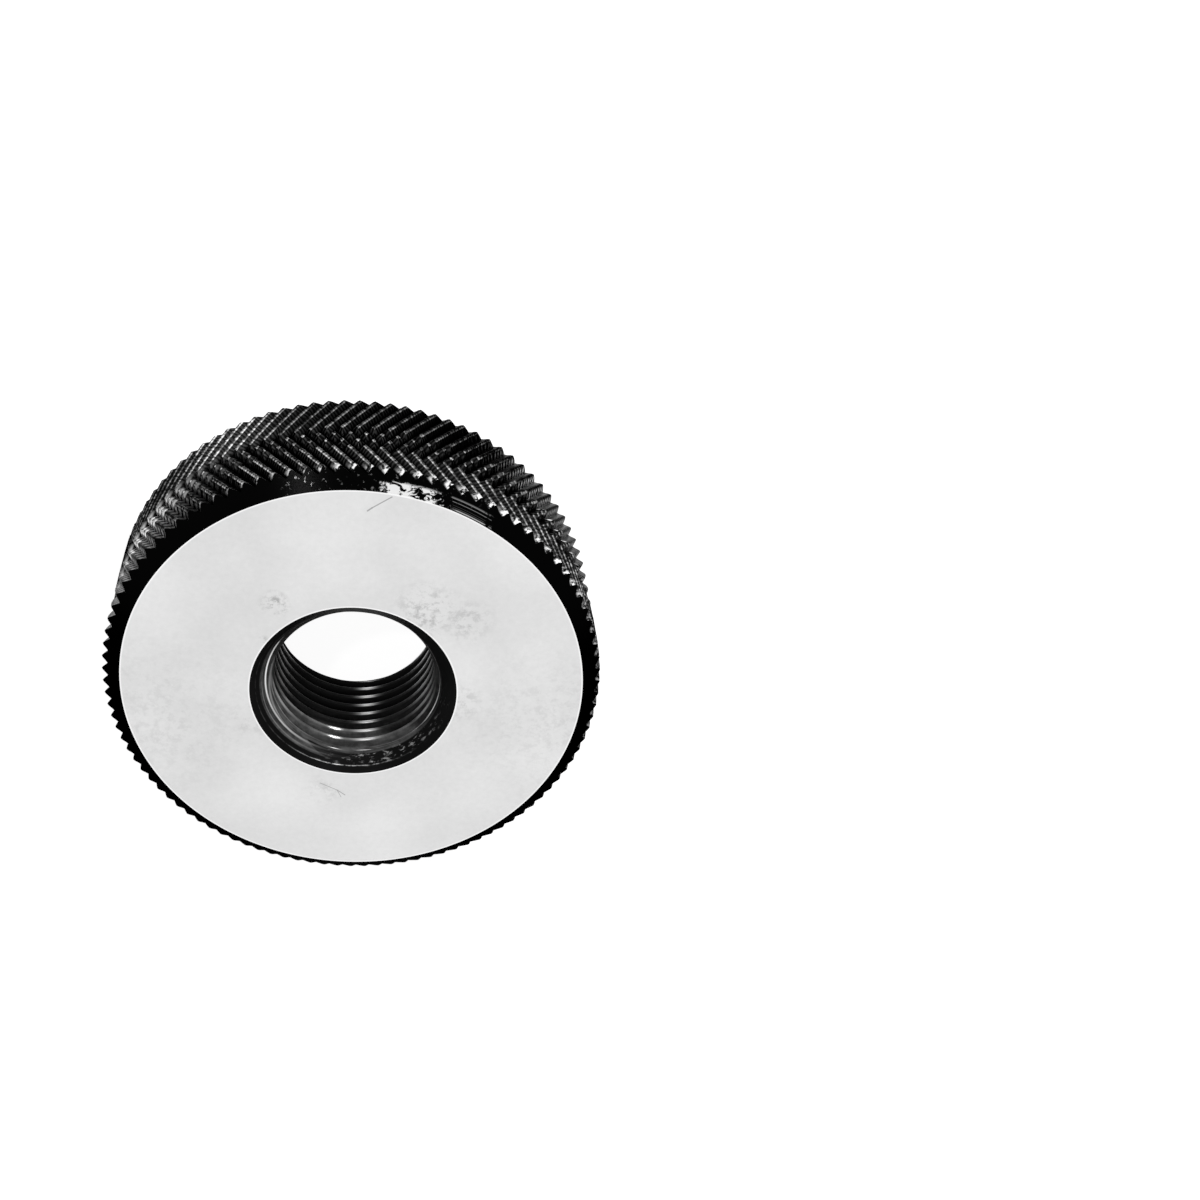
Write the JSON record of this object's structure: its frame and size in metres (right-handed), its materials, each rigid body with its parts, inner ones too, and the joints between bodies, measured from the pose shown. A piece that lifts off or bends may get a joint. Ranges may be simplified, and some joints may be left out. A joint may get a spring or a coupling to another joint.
{
  "type": "thread ring gauge",
  "caption": "Flat steel ring with an internal thread for checking an external pipe thread, ground faces and a knurled rim.",
  "frame": {"origin": "middle of the lower ground face, on the axis of the thread", "axes": "+Z along the axis of the thread, from the lower face to the upper one"},
  "size_m": [0.045, 0.045, 0.014],
  "materials": {
    "hardened_steel": "ground satin faces, dark turned and knurled rim and bore"
  },
  "bodies": {
    "root": {"gauge_ring": "hardened_steel"}
  },
  "joints": []
}
